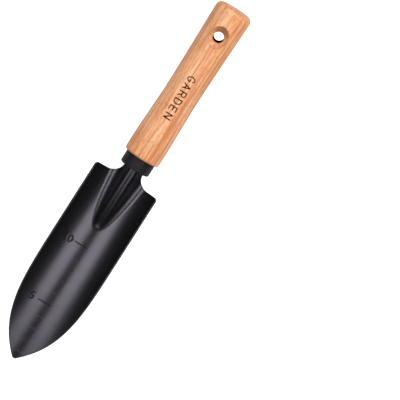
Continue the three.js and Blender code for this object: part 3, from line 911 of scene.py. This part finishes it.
def new_material(name):
    """An empty material with its tree, its surface shader and its output joined."""
    material = bpy.data.materials.new(name)
    material.use_nodes = True
    tree = material.node_tree
    tree.nodes.clear()
    shader = tree.nodes.new("ShaderNodeBsdfPrincipled")
    output = tree.nodes.new("ShaderNodeOutputMaterial")
    tree.links.new(shader.outputs["BSDF"], output.inputs["Surface"])
    return material, tree, shader


def ramp(tree, factor, stops):
    """A colour ramp between stops of (place, hex colour)."""
    node = add(tree, "ShaderNodeValToRGB", Fac=factor)
    elements = node.color_ramp.elements
    while len(elements) < len(stops):
        elements.new(0.5)
    for element, (place, colour) in zip(elements, stops):
        element.position = place
        element.color = linear(colour)
    return node.outputs["Color"]


def per_metre(millimetres):
    """The scale of a noise whose features are about so many millimetres across."""
    return 1 / (millimetres * MM)


# %% [markdown]
# ## Powder coat on carbon steel
#
# A dry powder is sprayed on the steel and baked, and melts into a skin about 0.08 mm thick. It is
# satin, slightly purple black, and has a fine orange peel. In the punched grooves the coat is duller,
# so they stay darker than the face around them.

# %% Satin black powder coat


def powder_coat(name, grooves):
    """Satin black with patches of slightly different gloss, and duller grooves where there are any."""
    material, tree, shader = new_material(name)
    where = add(tree, "ShaderNodeTexCoord").outputs["Object"]
    cloud = add(tree, "ShaderNodeTexNoise", Vector=where, Scale=per_metre(18), Detail=3.0)
    colour = ramp(tree, cloud.outputs["Fac"], [(0.3, "#070608"), (0.7, "#0b0a0c")])
    if grooves:
        groove = add(tree, "ShaderNodeAttribute", {"attribute_name": "groove"})
        colour = add(tree, "ShaderNodeMix", {"data_type": "RGBA"}, i0=groove.outputs["Fac"], i6=colour,
                     i7=linear("#040305")).outputs[2]
    tree.links.new(colour, shader.inputs["Base Color"])
    patches = add(tree, "ShaderNodeTexNoise", Vector=where, Scale=per_metre(6), Detail=2.0)
    roughness = add(tree, "ShaderNodeMapRange", Value=patches.outputs["Fac"], To_Min=0.26, To_Max=0.31)
    gloss = roughness.outputs["Result"]
    if grooves:
        gloss = add(tree, "ShaderNodeMix", i0=groove.outputs["Fac"], i2=gloss, i3=0.6).outputs[0]
        shine = add(tree, "ShaderNodeMapRange", Value=groove.outputs["Fac"], To_Min=0.5, To_Max=0.12)
        tree.links.new(shine.outputs["Result"], shader.inputs["Specular IOR Level"])
    tree.links.new(gloss, shader.inputs["Roughness"])
    peel = add(tree, "ShaderNodeTexNoise", Vector=where, Scale=per_metre(0.9), Detail=2.0)
    bump = add(tree, "ShaderNodeBump", Height=peel.outputs["Fac"], Strength=0.06, Distance=0.05 * MM)
    tree.links.new(bump.outputs["Normal"], shader.inputs["Normal"])
    shader.inputs["IOR"].default_value = 1.55
    shader.inputs["Specular Tint"].default_value = linear("#f4eeff")
    return material


blade.data.materials.append(powder_coat("powder-coated carbon steel", True))
plain_coat = powder_coat("powder-coated steel bar", False)
for piece in (tang, *welds):
    piece.data.materials.append(plain_coat)

# %% [markdown]
# ## Varnished beech
#
# Beech is a pale, warm wood. Sawn along the log it shows long streaks where the lathe cuts through
# the yearly rings, and everywhere the short dark flecks that mark it as beech, one to three
# millimetres long. A thin varnish warms it to an orange pink. It soaks into the end grain, which
# shows darker, and painted shade is laid on the same faces: more on those towards the blade than
# on those towards the butt. The pattern is a stack of noises that are stretched along the handle.

# %% Beech


def beech():
    """Broad streaks, rings, fine pores and flecks, then the end grain with painted shade,
    then the burnt word and the painted shade in the hole.
    """
    material, tree, shader = new_material("varnished beech")
    where = add(tree, "ShaderNodeTexCoord").outputs["Object"]
    grain = add(tree, "ShaderNodeMapping", Vector=where, Rotation=(0, -handle_lean, 0)).outputs["Vector"]

    def streaks(across, along, detail, offset):
        """Noise with features so many millimetres across and along the grain."""
        scaled = add(tree, "ShaderNodeMapping", Vector=grain, Location=(offset, offset, offset),
                     Scale=(per_metre(along), per_metre(across), per_metre(across))).outputs["Vector"]
        return add(tree, "ShaderNodeTexNoise", Vector=scaled, Scale=1.0, Detail=detail).outputs["Fac"]

    def over(share, below, above, way="MIX"):
        """One colour laid over another by a share."""
        return add(tree, "ShaderNodeMix", {"data_type": "RGBA", "blend_type": way}, i0=share, i6=below,
                   i7=above).outputs[2]

    colour = ramp(tree, streaks(7.0, 130, 2.0, 3.1),
                  [(0.32, "#e99c66"), (0.45, "#f2ad76"), (0.56, "#f8b987"), (0.70, "#ffca9e")])
    rings = ramp(tree, streaks(1.7, 90, 2.0, 5.2), [(0.38, "#d8a884"), (0.52, "#ffffff")])
    colour = over(0.7, colour, rings, "MULTIPLY")
    fine = streaks(0.55, 14, 2.0, 7.7)
    colour = over(0.5, colour, ramp(tree, fine, [(0.36, "#cf9f80"), (0.54, "#ffffff")]), "MULTIPLY")
    fleck = add(tree, "ShaderNodeMapRange", Value=streaks(0.4, 2.8, 1.0, 1.3),
                From_Min=0.60, From_Max=0.72)
    colour = over(fleck.outputs["Result"], colour, linear("#b06c42"))

    # Faces along the grain are darker: the end grain's soaked-in varnish, with painted shade on top,
    # stronger on faces towards the blade than on faces towards the butt.
    normal = add(tree, "ShaderNodeNewGeometry").outputs["True Normal"]
    along_grain = add(tree, "ShaderNodeVectorMath", {"operation": "DOT_PRODUCT"}, i0=normal,
                      i1=tuple(butt_axis)).outputs["Value"]
    grain_and_shade_to_blade = add(tree, "ShaderNodeMapRange", Value=along_grain,
                       From_Min=-0.2, From_Max=-0.7, To_Max=0.85)
    grain_and_shade_to_butt = add(tree, "ShaderNodeMapRange", Value=along_grain,
                      From_Min=0.35, From_Max=1.0, To_Max=0.55)
    grain_and_painted_shade = add(tree, "ShaderNodeMath", {"operation": "ADD"}, i0=grain_and_shade_to_blade.outputs["Result"],
                 i1=grain_and_shade_to_butt.outputs["Result"])
    # One colour for the end grain and the painted shade.
    colour = over(grain_and_painted_shade.outputs["Value"], colour, linear("#9a6238"))

    # This dark colour is the burnt word, and painted shade on the wall of the bore and the countersink's
    # rim.
    burnt_and_shaded = add(tree, "ShaderNodeAttribute", {"attribute_name": "burn_and_painted_shade"}).outputs["Fac"]
    colour = over(burnt_and_shaded, colour, linear("#1c0d06"))
    tree.links.new(colour, shader.inputs["Base Color"])
    roughness = add(tree, "ShaderNodeMapRange", Value=fine, To_Min=0.42, To_Max=0.56)
    tree.links.new(roughness.outputs["Result"], shader.inputs["Roughness"])
    bump = add(tree, "ShaderNodeBump", Height=fine, Strength=0.12, Distance=0.08 * MM)
    tree.links.new(bump.outputs["Normal"], shader.inputs["Normal"])
    shine = add(tree, "ShaderNodeMapRange", Value=burnt_and_shaded, To_Min=0.5, To_Max=0.0)
    tree.links.new(shine.outputs["Result"], shader.inputs["Specular IOR Level"])
    coat = add(tree, "ShaderNodeMapRange", Value=burnt_and_shaded, To_Min=0.12, To_Max=0.0)
    tree.links.new(coat.outputs["Result"], shader.inputs["Coat Weight"])
    shader.inputs["Coat Roughness"].default_value = 0.35
    return material


handle.data.materials.append(beech())

# %% [markdown]
# ## Moulded nylon and epoxy
#
# The ferrule is black nylon with the fine spark-eroded texture of its mould, so its gloss is lower
# than the blade's. The epoxy in the bore is hidden. It is an amber resin with small bubbles.

# %% Ferrule and adhesive


def moulded_nylon():
    """Dull black with a fine even texture."""
    material, tree, shader = new_material("spark-textured black nylon")
    where = add(tree, "ShaderNodeTexCoord").outputs["Object"]
    cloud = add(tree, "ShaderNodeTexNoise", Vector=where, Scale=per_metre(7), Detail=2.0)
    tree.links.new(ramp(tree, cloud.outputs["Fac"], [(0.35, "#0a0a0c"), (0.65, "#0e0e11")]),
                   shader.inputs["Base Color"])
    grain = add(tree, "ShaderNodeTexNoise", Vector=where, Scale=per_metre(0.35), Detail=2.0)
    roughness = add(tree, "ShaderNodeMapRange", Value=grain.outputs["Fac"], To_Min=0.5, To_Max=0.62)
    tree.links.new(roughness.outputs["Result"], shader.inputs["Roughness"])
    bump = add(tree, "ShaderNodeBump", Height=grain.outputs["Fac"], Strength=0.25,
               Distance=0.04 * MM)
    tree.links.new(bump.outputs["Normal"], shader.inputs["Normal"])
    shader.inputs["IOR"].default_value = 1.4
    shader.inputs["Specular Tint"].default_value = linear("#f4eeff")
    return material


def epoxy():
    """Amber resin with bubbles."""
    material, tree, shader = new_material("cured amber epoxy")
    where = add(tree, "ShaderNodeTexCoord").outputs["Object"]
    bubbles = add(tree, "ShaderNodeTexVoronoi", Vector=where, Scale=per_metre(1.6))
    tree.links.new(ramp(tree, bubbles.outputs["Distance"], [(0.1, "#d8c48c"), (0.5, "#c2a668")]),
                   shader.inputs["Base Color"])
    bump = add(tree, "ShaderNodeBump", Height=bubbles.outputs["Distance"], Strength=0.2,
               Distance=0.1 * MM)
    tree.links.new(bump.outputs["Normal"], shader.inputs["Normal"])
    shader.inputs["Roughness"].default_value = 0.3
    return material


ferrule.data.materials.append(moulded_nylon())
adhesive = frame["nodes"]["tang_adhesive"]
adhesive.data.materials.clear()
adhesive.data.materials.append(epoxy())

# %% [markdown]
# ## Floor, light and camera
#
# The tool lies on a white sweep. The sweep also glows, but only in what the camera sees of it, so it
# looks white and doesn't light the tool from beneath. Two soft boxes stand either side of the camera.
# Their reflections are the two light bands along the dish, and the dark gap between them is the
# stripe down the middle of the blade. Two lower boxes, off the butt and off the tip, light the ends.

# %% White sweep


def lay_sweep():
    """The white sweep, which isn't part of the tool."""
    bpy.ops.mesh.primitive_plane_add(size=6, location=(0, 0, 0))
    plane = bpy.context.object
    plane.name = "sweep"
    material, tree, shader = new_material("matt white sweep")
    shader.inputs["Base Color"].default_value = linear("#f2f2f2")
    shader.inputs["Roughness"].default_value = 0.9
    shader.inputs["Emission Color"].default_value = linear("#ffffff")
    seen = add(tree, "ShaderNodeLightPath").outputs["Is Camera Ray"]
    glow = add(tree, "ShaderNodeMapRange", Value=seen, To_Min=0.0, To_Max=0.9)
    tree.links.new(glow.outputs["Result"], shader.inputs["Emission Strength"])
    plane.data.materials.append(material)


lay_sweep()

# %% Camera: square to the blade, with the tool across the corner of the frame
FRAME_WIDTH = 293 * MM  # what the frame spans at the tool
CAMERA_DISTANCE = 3.0
SENSOR = 36.0
blade_axis = blade_turn @ np.array([1.0, 0, 0])
blade_up = blade_turn @ np.array([0, 0, 1.0])
ACROSS = np.array([0, 1.0, 0])
TOOL_ANGLE = math.radians(32.49)  # the tool's axis from straight down the frame, towards the left
VIEW_FROM_LEFT = math.radians(2.0)
AIM_ALONG = -16 * MM  # from the heel towards the tip
AIM_ACROSS = 53.15 * MM

toward_camera = math.cos(VIEW_FROM_LEFT) * blade_up - math.sin(VIEW_FROM_LEFT) * ACROSS
side = np.cross(toward_camera, blade_axis)
frame_up = -math.cos(TOOL_ANGLE) * blade_axis - math.sin(TOOL_ANGLE) * side
frame_right = np.cross(frame_up, toward_camera)
aim = blade_place[1] + AIM_ALONG * blade_axis + AIM_ACROSS * side
stand = aim + toward_camera * CAMERA_DISTANCE
camera_data = bpy.data.cameras.new("camera")
camera_data.sensor_width = SENSOR
camera_data.lens = SENSOR * CAMERA_DISTANCE / FRAME_WIDTH
camera_data.clip_end = 20
camera = bpy.data.objects.new("camera", camera_data)
bpy.context.collection.objects.link(camera)
camera.matrix_world = Matrix([
    [frame_right[i], frame_up[i], toward_camera[i], stand[i]] for i in range(3)] + [[0, 0, 0, 1]])
bpy.context.scene.camera = camera

# %% Soft boxes and a dim room


def soft_box(name, target, centre, size_along, size_across, radiance):
    """A rectangular light at centre that faces target, with one side in line with the blade."""
    data = bpy.data.lights.new("soft_box_" + name, "AREA")
    data.shape = "RECTANGLE"
    data.size = size_along
    data.size_y = size_across
    data.energy = radiance * math.pi * size_along * size_across
    lamp = bpy.data.objects.new("soft_box_" + name, data)
    bpy.context.collection.objects.link(lamp)
    out = np.array(centre, dtype=float) - np.array(target, dtype=float)
    out /= np.linalg.norm(out)
    along = blade_axis - out * (blade_axis @ out)
    along /= np.linalg.norm(along)
    across = np.cross(out, along)
    lamp.matrix_world = Matrix([
        [along[i], across[i], out[i], centre[i]] for i in range(3)] + [[0, 0, 0, 1]])


BAND = math.radians(24.5)  # from straight up, to either side
BAND_DISTANCE = 0.8
BAND_TARGET = np.array([0.088, 0, 0.0])
for name, sign in (("left", -1), ("right", 1)):
    centre = BAND_TARGET + BAND_DISTANCE * np.array([0, sign * math.sin(BAND), math.cos(BAND)])
    soft_box(name, BAND_TARGET, centre, 0.2, 0.38, 7.6)
soft_box("butt", (-0.10, 0, 0.03), (-0.75, 0.10, 0.60), 0.5, 0.9, 5.5)
soft_box("tip", (0, 0, 0), (1.2, 0.1, 0.55), 0.4, 0.9, 5.0)

world = bpy.data.worlds.new("dim room")
bpy.context.scene.world = world
world.use_nodes = True
world.node_tree.nodes["Background"].inputs["Color"].default_value = linear("#ffffff")
world.node_tree.nodes["Background"].inputs["Strength"].default_value = 0.04
bpy.context.scene.view_settings.view_transform = "Standard"
